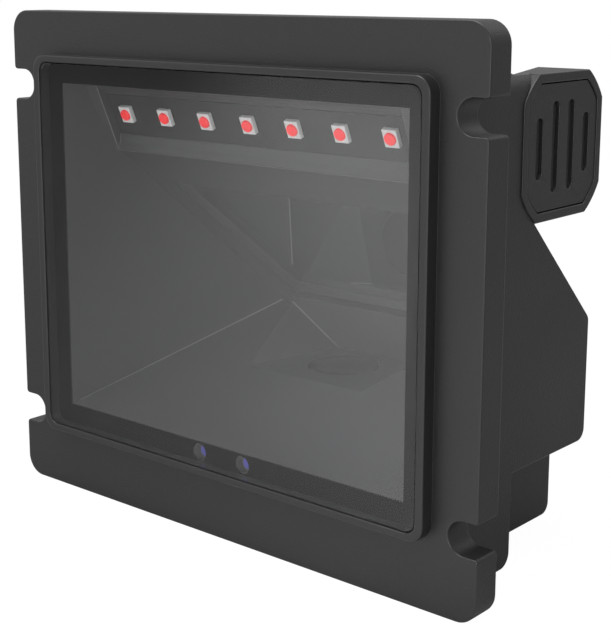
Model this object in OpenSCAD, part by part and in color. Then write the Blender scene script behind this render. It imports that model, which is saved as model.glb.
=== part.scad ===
// Fixed barcode reader for a kiosk or machine panel.
// Millimetres. The origin is the centre of the flange's front face, which seats behind the panel.
// -Y is the reading direction, +Y the back, +X the right side seen from the front and +Z up.

/* [Flange] */
// Width of the flange
flange_w = 114; // [104:0.5:126]
// Height of the flange
flange_h = 97.8; // [90:0.2:110]
// Thickness of the flange
flange_t = 5.9; // [5.4:0.1:7]
// Radius of the flange's corners
flange_r = 4; // [1:0.5:8]
// Width of an open screw notch
notch_w = 5.9; // [4.5:0.1:7]
// Depth of a screw notch from the flange's side
notch_depth = 5.85; // [4:0.05:7]
// Distance of a notch's centre from the flange's upper or lower edge
notch_inset = 14.7; // [10:0.1:20]
// Radius where a notch opens at the flange's side
notch_mouth_r = 0.7; // [0.3:0.1:1.5]

/* [Window] */
// Width of the flange beside the bezel
flange_side = 9.1; // [8.5:0.1:12]
// Mean height of the flange above and below the bezel
flange_rail = 10.55; // [9:0.05:13]
// Height of the bezel above the flange's front face
bezel_height = 2.7; // [2.4:0.1:5]
// Height of the window's centre above the flange's centre
window_rise = 2.05; // [0:0.05:4]
// Thickness of the bezel at the sides
bezel_side = 1.7; // [1:0.1:3]
// Thickness of the bezel above and below the window
bezel_rail = 1.4; // [1:0.1:3]
// Radius of the bezel's corners
bezel_r = 3; // [1:0.25:5]
// Radius of the corners of the pocket that holds the window
pocket_r = 2; // [0.5:0.25:4]
// Depth of the window's face below the bezel
window_recess = 0.3; // [0.1:0.1:1]
// Thickness of the window
window_t = 2.3; // [1.5:0.1:3]
// Thickness of the black border behind the window
mask_t = 0.3; // [0.1:0.1:0.6]
// Width of the black border at the sides
border_side = 3.95; // [3.5:0.05:6]
// Width of the black border above and below the clear view
border_rail = 4.05; // [4:0.05:6]
// Thickness of the ledge that the border is bonded to
ledge_t = 1.5; // [1:0.1:2.5]

/* [Presence sensors] */
// Distance between the two sensors
sensor_pitch = 10.95; // [8:0.05:16]
// Depth of a sensor's centre below the clear view
sensor_drop = 2.1; // [2:0.05:2.3]
// Diameter of a sensor's hole
sensor_hole_d = 3.5; // [3.2:0.1:3.8]
// Depth of a sensor's tip behind the border
sensor_depth = 1.9; // [1.6:0.1:3]

/* [Light chamber] */
// Wall of the light chamber
chamber_wall = 1.4; // [1:0.1:1.8]
// Depth of the chamber's back wall behind the flange's front face
chamber_depth = 47; // [43:0.5:52]
// Height of the chamber's back wall beside the camera recess
back_gap = 0.8; // [0.4:0.1:2]
// Inward slant of the side walls
side_angle = 19.2; // [17:0.2:22]
// Rise of the floor
floor_angle = 19; // [17:0.5:20]
// Thickness of the chamber's front rim
rim_t = 3; // [2:0.25:4]
// Width of the rim beside the clear view
rim_side = 2.6; // [1.5:0.1:2.8]
// Height of the rim above the clear view
rim_top = 2.2; // [1.5:0.1:2.4]
// Height of the rim below the clear view
rim_bottom = 6.6; // [5.5:0.1:7]

/* [LED tray] */
// Depth of the roof's upper edge behind the flange's front face
lip_y = 11.6; // [11:0.2:13]
// Distance of the roof's upper edge below the clear view's top
tray_drop = 14.1; // [13:0.1:15]
// Gap between the tray's mouth and the clear view's top
tray_gap = 0.63; // [0.4:0.01:1.5]
// Slant of the LED board
led_angle = 67; // [64:1:70]
// Distance of the tray's ends from the clear view's sides
tray_side = 5.15; // [4.9:0.05:7]
// Depth of the tray from its mouth to the LED board
tray_depth = 1.9; // [1.6:0.1:2.6]
// Depth of the bevelled lip above and below the tray's mouth
tray_lip = 1; // [0.6:0.1:1.4]
// Distance of the end LEDs from the tray's ends
led_end = 4.55; // [3.5:0.05:8]
// Width of an LED package
led_w = 3; // [2:0.1:4]
// Length of an LED package along the board's slant
led_l = 3.4; // [2.4:0.1:4.5]
// Height of an LED package
led_h = 0.9; // [0.7:0.1:1.3]
// Diameter of an LED's red dome
led_dome_d = 2.4; // [1.4:0.1:2.6]

/* [Mirror and camera] */
// Distance of the mirror's opening down the roof
mirror_start = 9.5; // [8:0.25:11]
// Distance of the mirror's opening from the roof's lower end
mirror_end = 3.95; // [3:0.05:8]
// Distance of the opening's upper corners from the side walls
mirror_top_side = 5.95; // [5:0.05:9]
// Distance of the opening's lower corners from the side walls
mirror_bottom_side = 7.15; // [6:0.05:10]
// Thickness of the mirror
mirror_t = 1.1; // [0.8:0.1:2]
// Distance of the camera's axis from the chamber's back
camera_back = 10.5; // [10.4:0.1:12]
// Distance of the camera recess's front edge from the camera's axis
recess_front = 12.7; // [11:0.1:14]
// Width of the camera recess at its front
recess_front_w = 29.4; // [26:0.2:32]
// Width of the camera recess at its back
recess_back_w = 19.7; // [18:0.1:24]
// Distance of the camera recess's upper corners from the side walls
recess_side = 3.1; // [2:0.05:5]
// Diameter of the camera opening
aperture_d = 14.8; // [13:0.2:16]
// Diameter of the lens barrel
barrel_d = 12; // [10:0.2:12.6]

/* [Rear housing] */
// Wall of the rear housing
shell_wall = 1.8; // [1.4:0.1:2]
// Step of the housing's sides inside the flange's sides
housing_side = 9.5; // [8.8:0.1:9.8]
// Step of the housing's top below the flange's upper edge
housing_drop = 9.4; // [8:0.1:9.6]
// Radius of the rear housing's upper side edges
shoulder_r = 3.8; // [2:0.1:5]
// Depth of the straight front body
front_body_y = 25.15; // [24.5:0.05:27]
// Gap between the chamber's back and the housing
back_clearance = 0.7; // [0.5:0.1:3]
// Gap between the chamber's roof and the wedge's slope
roof_clearance = 4.05; // [3.5:0.05:6]
// Distance of the wedge's underside below the clear view
wedge_drop = 0.65; // [0.3:0.05:2]
// Radius of the wedge's lower back edge
wedge_r = 2.3; // [1:0.1:4]
// Radius of the wedge's upper back edge
wedge_top_r = 2; // [1:0.1:4]
// Step of the lower box's sides inside the housing's sides
box_side = 5.5; // [4:0.1:7]
// Step of the lower box's back ahead of the wedge's back
box_step = 2.9; // [1:0.1:3.2]
// Height of the lower box's underside above the flange's lower edge
box_rise = 2; // [1:0.1:2.4]
// Radius of the front body's lower back edge
body_edge_r = 2.7; // [1:0.1:3]
// Radius of the lower box's lower back edge
box_edge_r = 2.2; // [1:0.1:3]

/* [Speaker pod] */
// Depth of the pod from its front flat to its back flat
pod_w = 26.8; // [26:0.2:28]
// Height of the pod from its lower flat to its upper flat
pod_h = 26; // [25.6:0.2:26.8]
// Diameter across the pod's round corners
pod_d = 31; // [30:0.2:32]
// Distance of the pod's upper flat below the housing's top
pod_drop = 0.5; // [0.2:0.1:2]
// Step of the pod's end face beyond the housing's side
pod_step = 0.35; // [0.2:0.05:1]
// Length of the pod from its end face
pod_l = 11.4; // [11:0.2:14]
// Distance of the pod's bevel from the housing's side at the front body
pod_bevel = 1.6; // [1:0.1:3]
// Turn of the pod's bevel in plan
pod_turn = 20; // [15:1:22]
// Margin of the pod's rim round the grille
pod_rim = 1.7; // [1.4:0.1:2.2]
// Thickness of the grille
grille_t = 1.6; // [1.2:0.1:1.7]
// Width of a grille slot
slot_w = 2.1; // [1.2:0.1:3]
// Distance between neighbouring grille slots
slot_pitch = 5.3; // [4:0.1:5.4]
// Length of the two inner grille slots
slot_inner_l = 16; // [10:0.5:17]
// Length of the two outer grille slots
slot_outer_l = 10.7; // [8:0.1:12]
// Diameter of the speaker
speaker_d = 20; // [18:0.2:20.4]

/* [Data socket] */
// Distance of the data socket's centre from the lower box's left side
socket_side = 16; // [13:0.5:20]
// Width of the data socket
socket_w = 15.5; // [14.5:0.1:16]
// Height of the data socket
socket_h = 10.9; // [10.4:0.1:11.2]
// Length of the data socket
socket_l = 18; // [16:0.5:19]

/* [Hidden] */
$fn = 64;
led_count = 7;
contact_count = 8;
// Clearance of a piece that drops into a pocket or hole
fit = 0.15;
// Thickness of the adhesive behind the mirror
bond = 0.05;
// Extra length of a cut past the face that it opens
cut = 1;
// Thickness of the thin slices that a tapered space is drawn between
slice = 0.02;
board_t = 1;

bezel_w = flange_w - 2 * flange_side;
bezel_h = flange_h - 2 * flange_rail;
pocket_w = bezel_w - 2 * bezel_side;
pocket_h = bezel_h - 2 * bezel_rail;
view_w = pocket_w - 2 * border_side;
view_h = pocket_h - 2 * border_rail;
view_low = window_rise - view_h / 2;
view_high = window_rise + view_h / 2;
flange_low = -flange_h / 2;
notch_spacing = flange_h - 2 * notch_inset;
window_face = -bezel_height + window_recess;
window_back = window_face + window_t;
mask_back = window_back + mask_t;
ledge_back = mask_back + ledge_t;

rim_w = view_w + 2 * rim_side;
rim_low = view_low - rim_bottom;
rim_high = view_high + rim_top;
rim_back = ledge_back + rim_t;

sensor_d = 3;
sensor_l = 5;
sensor_collar_d = 3.9;
sensor_collar_t = 0.8;
sensor_board_margin = 5;
sensor_board_h = 7;
sensor_board_shift = 1;
sensor_post_d = 2.4;
sensor_z = view_low - sensor_drop;
sensor_tip_y = mask_back + sensor_depth;
sensor_collar_y = max(sensor_tip_y + sensor_l, rim_back) - sensor_collar_t;
sensor_board_y = sensor_collar_y + sensor_collar_t;
sensor_board_w = sensor_pitch + 2 * sensor_board_margin;
sensor_board_z = sensor_z - sensor_board_shift;

function floor_z(y) = view_low + tan(floor_angle) * (y - window_back);
function side_x(y) = view_w / 2 - tan(side_angle) * (y - window_back);
roof_low = floor_z(chamber_depth) + back_gap;
lip_z = view_high - tray_drop;
roof_angle = atan2(lip_z - roof_low, chamber_depth - lip_y);
roof_l = norm([chamber_depth - lip_y, lip_z - roof_low]);
function roof_z(y) = roof_low + tan(roof_angle) * (chamber_depth - y);
function down_roof(l) = lip_y + l * cos(roof_angle);
nose_step = [1.7, 0.4];
nose = [lip_y - nose_step[0], lip_z + nose_step[1]];
tray_slope = [-cos(led_angle), sin(led_angle)];
tray_mouth_h = (view_high - tray_gap - nose[1]) / sin(led_angle);
tray_center = nose + tray_slope * tray_mouth_h / 2;
tray_high = nose + tray_slope * tray_mouth_h;
tray_flare = 1.4;
tray_lip_h = 1.2;
tray_inner_h = tray_mouth_h - 2 * tray_lip_h;
tray_floor_h = tray_inner_h - 2 * tray_flare;
tray_floor_w = view_w - 2 * tray_side;
led_pitch = (tray_floor_w - 2 * led_end) / (led_count - 1);
led_raise = 0.5;
led_cup_h = 0.4;
led_crown = 0.3;

mirror_l = roof_l - mirror_start - mirror_end;
mirror_top_w = 2 * (side_x(down_roof(mirror_start)) - mirror_top_side);
mirror_bottom_w = 2 * (side_x(down_roof(mirror_start + mirror_l)) - mirror_bottom_side);
mirror_lap = 1.2;
mirror_seat = 0.6;

housing_w = flange_w - 2 * housing_side;
housing_top = flange_h / 2 - housing_drop;
side_in = housing_w / 2 - shell_wall;
wedge_y = chamber_depth + chamber_wall + back_clearance + shell_wall;
wedge_low = view_low - wedge_drop;
function wedge_roof(y) = roof_z(y) + (chamber_wall + roof_clearance + shell_wall) / cos(roof_angle);
wedge_in_drop = shell_wall / cos(roof_angle);
box_w = housing_w - 2 * box_side;
box_y = wedge_y - box_step;
box_low = flange_low + box_rise;
box_floor = box_low + shell_wall;
stand_d = 4;

camera_y = chamber_depth - camera_back;
recess_y = camera_y - recess_front;
recess_top_w = 2 * (side_x(chamber_depth) - recess_side);
recess_back_h = 2;
recess_z = floor_z(recess_y);
recess_under = recess_z - chamber_wall;
holder_w = 15;
holder_base_h = 5;
holder_h = 9;
holder_ring = 1.3;
holder_room_w = 9;
holder_room_h = 3;
holder_bore = 8;
sensor_chip_w = 7;
sensor_chip_t = 0.9;
barrel_gap = 0.4;
barrel_stand = 2.4;
barrel_stop_d = 7;
lens_seat = 3;
lens_rim = 1.2;
lens_edge_t = 1;
lens_crown = 1.2;
lens_pocket_d = barrel_d - 2 * lens_rim;
post_d = 3.6;
post_gap = 0.4;
post_x = holder_w / 2 + post_d / 2 + post_gap;
post_y = 6.8;
camera_board_margin = 0.7;
camera_board_rise = 5.7;
camera_board_w = 2 * post_x + post_d + 2 * camera_board_margin;
camera_board_l = 2 * post_y + post_d + 2 * camera_board_margin;
camera_board_z = box_floor + camera_board_rise;
camera_board_top = camera_board_z + board_t;
barrel_top = recess_under - barrel_gap;
barrel_bottom = camera_board_top + barrel_stand;

pod_y = front_body_y + pod_w / 2;
pod_z = housing_top - pod_drop - pod_h / 2;
pod_face = housing_w / 2 + pod_step;
pod_in = pod_face - pod_l;
grille_w = pod_w - 2 * pod_rim;
grille_h = pod_h - 2 * pod_rim;
grille_d = pod_d - 2 * pod_rim;
grille_recess = 0.2;
seat_x = pod_face - grille_recess - grille_t;
gasket_t = 0.5;
gasket_w = 1.2;
basket_l = 2.4;
basket_wall = 0.8;
magnet_d = 10;
magnet_start = 1.6;
magnet_l = 2;
cone_dish = 1;
cone_sheet = 0.3;
speaker_x = seat_x - gasket_t;
basket_x = speaker_x - basket_l;
sound_room_d = 15;
sound_room_x = pod_in + shell_wall;

ear_x = view_w * 0.355;
ear_w = 9;
ear_t = 2;
ear_drop = 4.4;
ear_foot = 3.5;
ear_z = rim_low - ear_drop;
screw_d = 2.4;
screw_head_d = 4.2;
screw_head_h = 1.6;
screw_grip = 3.6;
housing_boss_d = 5.8;
housing_boss_inset = 0.2;
housing_screw_rise = 6.6;
housing_screw_l = 5;
housing_screw_x = housing_w / 2 - housing_boss_d / 2 - housing_boss_inset;
housing_screw_z = flange_low + housing_screw_rise;
housing_seat_y = flange_t + housing_screw_l;
tongue = [14, 2, 0.9];
tongue_x = 25;
tongue_z = housing_top - shell_wall / 2;

decoder_w = 28;
decoder_l = 27;
decoder_y = 24;
decoder_rise = 18.5;
decoder_stand = 1.7;
decoder_inset = 3;
decoder_z = wedge_low + decoder_rise;
decoder_x = -side_in + decoder_stand;
decoder_chip_w = 11;
decoder_chip_t = 1.2;
decoder_chip_at = [3, -2];
memory_chip_w = 6;
memory_chip_t = 1;
memory_chip_at = [-8.5, -4];
small_screw_d = 1.7;
small_head_d = 3.2;
small_head_h = 1.2;
small_grip = 3.5;

socket_wall = 1.2;
plug_w = 11.8;
plug_h = 7.6;
plug_l = 13;
latch_w = 6.2;
latch_start = 3;
contact = [0.45, 8, 0.4];
contact_pitch = 1.1;
contact_start = 1;
interface_stand = 0.9;
interface_margin = 2.5;
interface_tail = 2.2;
interface_inset = [1.5, 2];
socket_x = box_w / 2 - socket_side;
interface_z = box_floor + interface_stand;
interface_w = socket_w + 2 * interface_margin;
interface_l = socket_l + interface_tail;
interface_y = box_y - shell_wall - fit - interface_l / 2;
socket_z = interface_z + board_t;

shell_colour = [0.16, 0.16, 0.17];
chamber_colour = [0.27, 0.27, 0.29];
board_colour = [0.10, 0.22, 0.16];
steel_colour = [0.70, 0.70, 0.72];

// Directions for outlines: each extrudes an outline along one axis
module along_x(x0, x1) {
    translate([x0, 0, 0]) rotate([90, 0, 90]) linear_extrude(x1 - x0) children();
}

module along_y(y0, y1) {
    translate([0, y1, 0]) rotate([90, 0, 0]) linear_extrude(y1 - y0) children();
}

module along_z(z0, z1) {
    translate([0, 0, z0]) linear_extrude(z1 - z0) children();
}

// Outline of a polygon moved outward by d, with sharp corners
function grown(p, d) = [
    for (i = [0 : len(p) - 1])
        let (
            a = p[(i + len(p) - 1) % len(p)],
            b = p[i],
            c = p[(i + 1) % len(p)],
            u = (b - a) / norm(b - a),
            v = (c - b) / norm(c - b),
            n = [u[1], -u[0]],
            m = [v[1], -v[0]]
        )
        b + d * (n + m) / (1 + n * m)
];

// Rectangle with round corners
module rounded_rect(w, h, r) {
    square([w - 2 * r, h], center = true);
    square([w, h - 2 * r], center = true);
    for (x = [-1, 1], y = [-1, 1])
        translate([x * (w / 2 - r), y * (h / 2 - r)]) circle(r);
}

// Screw along +Z with its head's underside at the origin and its shank below
module screw(d, head_d, head_h, grip) {
    cylinder(d = head_d, h = head_h);
    translate([0, 0, -grip]) cylinder(d = d, h = grip + head_h / 2);
}

// One open notch at the right side of the flange, as an outline in X and Z
module notch_outline() {
    side = flange_w / 2;
    mouth_h = notch_w + 2 * notch_mouth_r;
    translate([side - notch_depth + notch_w / 2, 0]) circle(d = notch_w);
    translate([side - notch_depth + notch_w / 2, -notch_w / 2]) square([notch_depth, notch_w]);
    difference() {
        translate([side - notch_mouth_r, -mouth_h / 2]) square([2 * notch_mouth_r, mouth_h]);
        for (s = [-1, 1])
            translate([side - notch_mouth_r, s * mouth_h / 2]) circle(notch_mouth_r);
    }
}

// The two presence sensors' axes, drawn along +Y
module at_sensors() {
    for (s = [-1, 1])
        translate([s * sensor_pitch / 2, 0, sensor_z]) rotate([-90, 0, 0]) children();
}

// The two screws that hold the chamber's lower ears to the flange
module at_chamber_screws(y) {
    for (s = [-1, 1])
        translate([s * ear_x, y, ear_z]) rotate([-90, 0, 0]) children();
}

// The two screws that hold the rear housing to the flange
module at_housing_screws(y) {
    for (s = [-1, 1])
        translate([s * housing_screw_x, y, housing_screw_z]) rotate([-90, 0, 0]) children();
}

// Frame of the LED tray: +Z out of its mouth, +Y up its slant
module in_tray() {
    translate([0, tray_center[0], tray_center[1]]) rotate([180 - led_angle, 0, 0]) children();
}

// Frame of the roof: +Z into the chamber, +Y up the slant, with its origin at the roof's upper edge
module in_roof() {
    translate([0, lip_y, lip_z]) rotate([180 - roof_angle, 0, 0]) children();
}

// Space in front of the mirror: floor, roof and the two slanted side walls
space_profile = [
    [window_back, view_low],
    [chamber_depth, floor_z(chamber_depth)],
    [chamber_depth, roof_low],
    [lip_y, lip_z],
    nose,
    tray_high,
    [window_back, view_high]
];
space_plan = [
    [-side_x(window_back), window_back],
    [side_x(window_back), window_back],
    [side_x(chamber_depth), chamber_depth],
    [-side_x(chamber_depth), chamber_depth]
];

module light_space(wall) {
    intersection() {
        along_x(-view_w, view_w) polygon(grown(space_profile, wall));
        along_z(-view_h, view_h) polygon(grown(space_plan, wall));
    }
}

// Flared mouth of the LED tray and the seat of its board
module tray_space() {
    in_tray() {
        hull() {
            translate([0, 0, slice / 2]) cube([tray_floor_w, tray_mouth_h, slice], center = true);
            translate([0, 0, -tray_lip]) cube([tray_floor_w, tray_inner_h, slice], center = true);
        }
        hull() {
            translate([0, 0, -tray_lip]) cube([tray_floor_w, tray_inner_h, slice], center = true);
            translate([0, 0, -tray_depth]) cube([tray_floor_w, tray_floor_h, slice], center = true);
        }
        translate([0, 0, -tray_depth - board_t / 2])
            cube([tray_floor_w, tray_floor_h, board_t], center = true);
    }
}

// Camera recess in the floor: a level trapezoid with two slanted side facets
module recess_space(wall) {
    low = grown([
        [-recess_front_w / 2, recess_y],
        [recess_front_w / 2, recess_y],
        [recess_back_w / 2, chamber_depth],
        [-recess_back_w / 2, chamber_depth]
    ], wall);
    back_w = recess_top_w + 2 * wall;
    hull() {
        along_z(recess_z - wall, recess_z + recess_back_h) polygon(low);
        translate([-back_w / 2, chamber_depth + wall - slice, floor_z(chamber_depth) - wall])
            cube([back_w, slice, recess_back_h]);
    }
}

module front_frame() {
    color(shell_colour) difference() {
        union() {
            along_y(0, flange_t) rounded_rect(flange_w, flange_h, flange_r);
            translate([0, 0, window_rise]) along_y(-bezel_height, 0) rounded_rect(bezel_w, bezel_h, bezel_r);
        }
        translate([0, 0, window_rise])
            along_y(-bezel_height - cut, mask_back) rounded_rect(pocket_w, pocket_h, pocket_r);
        light_space(0);
        translate([-rim_w / 2 - fit, ledge_back, rim_low - fit])
            cube([rim_w + 2 * fit, flange_t + cut, rim_high - rim_low + 2 * fit]);
        for (turn = [0, 180], s = [-1, 1])
            rotate([0, turn, 0]) translate([0, 0, s * notch_spacing / 2])
                along_y(-cut, flange_t + cut) notch_outline();
        at_sensors() cylinder(d = sensor_hole_d, h = flange_t);
        at_chamber_screws(flange_t - screw_grip - fit) cylinder(d = screw_d + fit, h = flange_t);
        at_housing_screws(flange_t - screw_grip - fit) cylinder(d = screw_d + fit, h = flange_t);
        for (s = [-1, 1])
            translate([s * tongue_x, flange_t, tongue_z])
                cube([tongue[0] + 2 * fit, 2 * (tongue[1] + fit), tongue[2] + 2 * fit], center = true);
    }
}

// Outline of the window and its border, which drop into the bezel's pocket
module pane_outline() {
    translate([0, window_rise]) rounded_rect(pocket_w - 2 * fit, pocket_h - 2 * fit, pocket_r - fit);
}

module window_glass() {
    color([0.75, 0.82, 0.86, 0.35]) along_y(window_face, window_back) pane_outline();
}

module window_mask() {
    color([0.05, 0.05, 0.06]) difference() {
        along_y(window_back, mask_back) pane_outline();
        along_y(window_back - cut, mask_back + cut)
            translate([0, window_rise]) square([view_w, view_h], center = true);
        at_sensors() translate([0, 0, window_back - cut]) cylinder(d = sensor_hole_d, h = 2 * cut + mask_t);
    }
}

// Opening in the roof, with a raised seat behind it that the mirror is glued to
mirror_outline = [
    [-mirror_top_w / 2, 0],
    [-mirror_bottom_w / 2, -mirror_l],
    [mirror_bottom_w / 2, -mirror_l],
    [mirror_top_w / 2, 0]
];

module light_chamber() {
    color(chamber_colour) difference() {
        union() {
            difference() {
                union() {
                    light_space(chamber_wall);
                    in_tray() translate([0, 0, -(tray_depth + board_t + chamber_wall) / 2])
                        cube([tray_floor_w + 2 * chamber_wall, tray_inner_h + chamber_wall,
                              tray_depth + board_t + chamber_wall], center = true);
                    recess_space(chamber_wall);
                    in_roof() translate([0, -mirror_start, -chamber_wall - mirror_seat])
                        linear_extrude(mirror_seat + chamber_wall / 2)
                            polygon(grown(mirror_outline, mirror_lap));
                    translate([-rim_w / 2, ledge_back, rim_low]) cube([rim_w, rim_t, rim_high - rim_low]);
                    for (s = [-1, 1]) {
                        translate([s * ear_x - ear_w / 2, ledge_back, rim_low])
                            cube([ear_w, flange_t + ear_t - ledge_back, view_low - rim_low]);
                        translate([s * ear_x - ear_w / 2, flange_t, ear_z - ear_foot])
                            cube([ear_w, ear_t, view_low - ear_z]);
                    }
                    for (x = [-1, 1], y = [-1, 1])
                        translate([x * post_x, camera_y + y * post_y, camera_board_top])
                            cylinder(d = post_d, h = recess_z - camera_board_top);
                }
                light_space(0);
                tray_space();
                recess_space(0);
            }
            for (s = [-1, 1])
                translate([s * (sensor_board_w - sensor_post_d) / 2, rim_back, sensor_board_z])
                    rotate([-90, 0, 0]) cylinder(d = sensor_post_d, h = sensor_board_y - rim_back);
        }
        translate([-flange_w / 2, ledge_back - flange_t, -flange_h / 2]) cube([flange_w, flange_t, flange_h]);
        translate([0, camera_y, recess_under - cut]) cylinder(d = aperture_d, h = chamber_wall + 2 * cut);
        in_roof() translate([0, -mirror_start, -chamber_wall - mirror_seat - cut])
            linear_extrude(chamber_wall + mirror_seat + 2 * cut) polygon(mirror_outline);
        at_sensors() cylinder(d = sensor_d + 2 * fit, h = rim_back + cut);
        at_chamber_screws(0) cylinder(d = screw_d + 2 * fit, h = flange_t + ear_t + cut);
        for (x = [-1, 1], y = [-1, 1])
            translate([x * post_x, camera_y + y * post_y, camera_board_z])
                cylinder(d = small_screw_d + fit, h = board_t + small_grip + fit);
    }
}

module fold_mirror() {
    back = chamber_wall + mirror_seat + bond + mirror_t;
    color([0.78, 0.80, 0.82]) in_roof() translate([0, -mirror_start, -back])
        linear_extrude(mirror_t) polygon(grown(mirror_outline, mirror_lap));
}

module led_board() {
    color([0.20, 0.20, 0.22]) in_tray() translate([0, 0, -tray_depth - board_t / 2])
        cube([tray_floor_w - 2 * fit, tray_floor_h - 2 * fit, board_t], center = true);
}

// Place of LED number i on the board's face
module at_led(i) {
    in_tray() translate([(i - (led_count + 1) / 2) * led_pitch, led_raise, -tray_depth]) children();
}

// One LED package with a round cup in its face
module led(i) {
    color([0.72, 0.72, 0.72]) at_led(i) difference() {
        translate([-led_w / 2, -led_l / 2, 0]) cube([led_w, led_l, led_h]);
        translate([0, 0, led_h - led_cup_h]) cylinder(d = led_dome_d, h = led_cup_h + cut);
    }
}

// The red dome that fills the package's cup
module led_lens(i) {
    ball_r = (led_dome_d * led_dome_d / 4 + led_crown * led_crown) / (2 * led_crown);
    color([0.88, 0.20, 0.22]) at_led(i) translate([0, 0, led_h - led_cup_h]) {
        cylinder(d = led_dome_d, h = led_cup_h);
        intersection() {
            translate([0, 0, led_cup_h + led_crown - ball_r]) sphere(ball_r);
            translate([0, 0, led_cup_h / 2]) cylinder(d = led_dome_d, h = led_cup_h + led_crown);
        }
    }
}

// A sensor with a round tip and a collar that seats on its board
module presence_sensor(s) {
    translate([s * sensor_pitch / 2, sensor_tip_y, sensor_z]) rotate([-90, 0, 0]) {
        translate([0, 0, sensor_d / 2]) sphere(d = sensor_d);
        translate([0, 0, sensor_d / 2])
            cylinder(d = sensor_d, h = sensor_board_y - sensor_tip_y - sensor_d / 2);
        translate([0, 0, sensor_collar_y - sensor_tip_y]) cylinder(d = sensor_collar_d, h = sensor_collar_t);
    }
}

module ir_emitter() {
    color([0.35, 0.33, 0.55]) presence_sensor(-1);
}

module ir_receiver() {
    color([0.20, 0.18, 0.30]) presence_sensor(1);
}

module sensor_board() {
    color(board_colour) translate([-sensor_board_w / 2, sensor_board_y, sensor_board_z - sensor_board_h / 2])
        cube([sensor_board_w, board_t, sensor_board_h]);
}

module lens_holder() {
    color([0.08, 0.08, 0.09]) translate([0, camera_y, camera_board_top]) difference() {
        union() {
            translate([-holder_w / 2, -holder_w / 2, 0]) cube([holder_w, holder_w, holder_base_h]);
            cylinder(d = barrel_d + 2 * holder_ring, h = holder_h);
        }
        translate([-holder_room_w / 2, -holder_room_w / 2, -cut])
            cube([holder_room_w, holder_room_w, holder_room_h + cut]);
        translate([0, 0, barrel_stand]) cylinder(d = barrel_d + fit, h = holder_h);
        cylinder(d = holder_bore, h = holder_h);
    }
}

module lens_barrel() {
    color([0.06, 0.06, 0.07]) translate([0, camera_y, 0]) difference() {
        translate([0, 0, barrel_bottom]) cylinder(d = barrel_d, h = barrel_top - barrel_bottom);
        translate([0, 0, barrel_bottom - cut])
            cylinder(d = barrel_stop_d, h = barrel_top - barrel_bottom + 2 * cut);
        translate([0, 0, barrel_top - lens_seat]) cylinder(d = lens_pocket_d, h = lens_seat + cut);
    }
}

module camera_lens() {
    lens_d = lens_pocket_d - fit;
    ball_r = (lens_d * lens_d / 4 + lens_crown * lens_crown) / (2 * lens_crown);
    color([0.55, 0.60, 0.75]) translate([0, camera_y, barrel_top - lens_seat]) {
        cylinder(d = lens_d, h = lens_edge_t);
        intersection() {
            translate([0, 0, lens_edge_t + lens_crown - ball_r]) sphere(ball_r);
            translate([0, 0, lens_edge_t / 2]) cylinder(d = lens_d, h = lens_edge_t + lens_crown);
        }
    }
}

module image_sensor() {
    color([0.20, 0.20, 0.24]) translate([-sensor_chip_w / 2, camera_y - sensor_chip_w / 2, camera_board_top])
        cube([sensor_chip_w, sensor_chip_w, sensor_chip_t]);
}

// Clearance hole for a small screw through a board that lies on the origin
module board_hole() {
    translate([0, 0, -cut]) cylinder(d = small_screw_d + 2 * fit, h = board_t + 2 * cut);
}

module camera_board() {
    color(board_colour) difference() {
        translate([-camera_board_w / 2, camera_y - camera_board_l / 2, camera_board_z])
            cube([camera_board_w, camera_board_l, board_t]);
        for (x = [-1, 1], y = [-1, 1])
            translate([x * post_x, camera_y + y * post_y, camera_board_z]) board_hole();
    }
}

// The four corners of the decoder board on the left side wall, facing +X
module at_decoder_corners() {
    in_y = decoder_l / 2 - decoder_inset;
    in_z = decoder_w / 2 - decoder_inset;
    for (y = [-1, 1], z = [-1, 1])
        translate([decoder_x, decoder_y + y * in_y, decoder_z + z * in_z]) rotate([0, 90, 0]) children();
}

module decoder_board() {
    color(board_colour) difference() {
        translate([decoder_x, decoder_y - decoder_l / 2, decoder_z - decoder_w / 2])
            cube([board_t, decoder_l, decoder_w]);
        at_decoder_corners() board_hole();
    }
}

// A square chip on the decoder board, centred at a step in Y and Z from the board's middle
module chip(w, t, at) {
    translate([decoder_x + board_t, decoder_y + at[0] - w / 2, decoder_z + at[1] - w / 2]) cube([t, w, w]);
}

module decoder_chip() {
    color([0.10, 0.10, 0.11]) chip(decoder_chip_w, decoder_chip_t, decoder_chip_at);
}

module memory_chip() {
    color([0.12, 0.12, 0.13]) chip(memory_chip_w, memory_chip_t, memory_chip_at);
}

// The two free corners of the interface board
module at_interface_screws() {
    in_x = interface_w / 2 - interface_inset[0];
    in_y = interface_l / 2 - interface_inset[1];
    for (s = [-1, 1])
        translate([-socket_x + s * in_x, interface_y - in_y, interface_z]) children();
}

module interface_board() {
    color(board_colour) difference() {
        translate([-socket_x - interface_w / 2, interface_y - interface_l / 2, interface_z])
            cube([interface_w, interface_l, board_t]);
        at_interface_screws() board_hole();
    }
}

// Socket for the data cord's plug, open to the back
module data_socket() {
    color([0.13, 0.13, 0.14]) translate([-socket_x, box_y - socket_l, socket_z]) difference() {
        translate([-socket_w / 2, 0, 0]) cube([socket_w, socket_l, socket_h]);
        translate([-plug_w / 2, socket_l - plug_l, socket_h - socket_wall - plug_h])
            cube([plug_w, plug_l + cut, plug_h]);
        translate([-latch_w / 2, socket_l - plug_l + latch_start, socket_wall])
            cube([latch_w, plug_l, socket_h - 2 * socket_wall]);
    }
}

module socket_contacts() {
    first = -socket_x - (contact_count - 1) / 2 * contact_pitch - contact[0] / 2;
    start = box_y - plug_l + contact_start;
    low = socket_z + socket_h - socket_wall - contact[2];
    color([0.85, 0.68, 0.30]) for (i = [0 : contact_count - 1])
        translate([first + i * contact_pitch, start, low]) cube(contact);
}

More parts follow.
